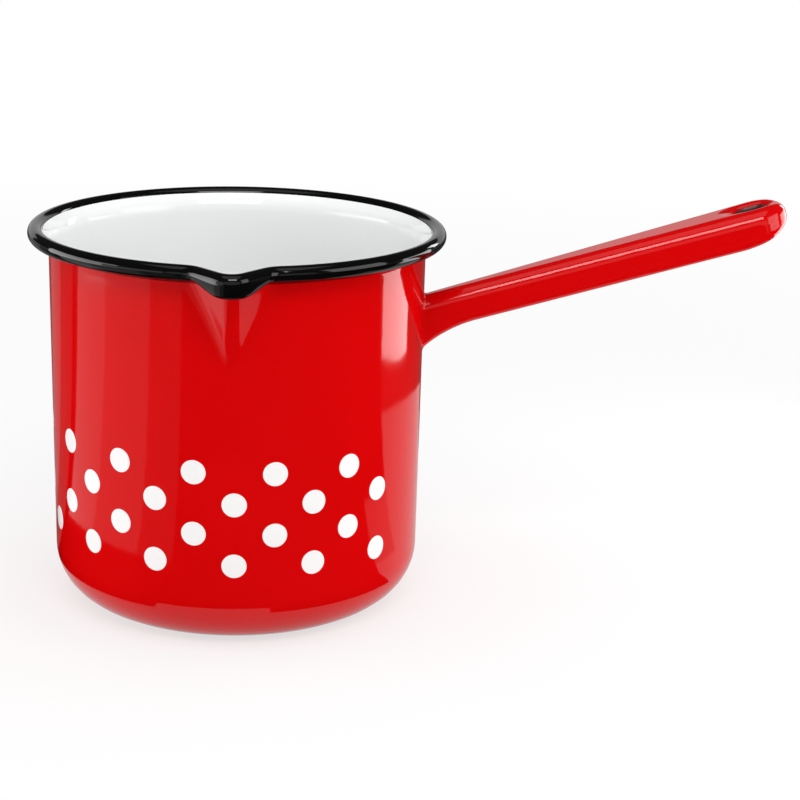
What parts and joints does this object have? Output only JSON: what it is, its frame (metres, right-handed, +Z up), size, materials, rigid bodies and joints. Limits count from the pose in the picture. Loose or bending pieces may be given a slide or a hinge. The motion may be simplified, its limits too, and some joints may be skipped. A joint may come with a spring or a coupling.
{
  "type": "milk pan",
  "caption": "Straight-sided enamelled steel milk pan with a rolled black rim, a pressed V-shaped pouring spout, a dotted wall and a long hollow handle with a hanging slot.",
  "frame": {"origin": "centre of the standing ring, on the pan's axis and on the surface that the pan stands on", "axes": "+Z up along the pan's axis, -Y towards the spout, +X towards the handle"},
  "size_m": [0.2831, 0.1669, 0.1551],
  "materials": {
    "steel": "drawn low-carbon sheet, covered by enamel on every face",
    "weld": "weld bead under the enamel",
    "red_enamel": "glossy fired enamel, deep red",
    "white_enamel": "glossy fired enamel, white",
    "black_enamel": "glossy fired enamel, black",
    "dot_enamel": "glossy fired transfer, white"
  },
  "bodies": {
    "root": {"body_shell": "steel", "handle_shell": "steel", "handle_seam_weld": "weld", "handle_root_weld": "weld", "lining_enamel": "white_enamel", "wall_enamel": "red_enamel", "base_enamel": "red_enamel", "handle_enamel": "red_enamel", "rim_enamel": "black_enamel", "dots_row_1": "dot_enamel", "dots_row_2": "dot_enamel", "dots_row_3": "dot_enamel", "dots_row_4": "dot_enamel"}
  },
  "joints": []
}
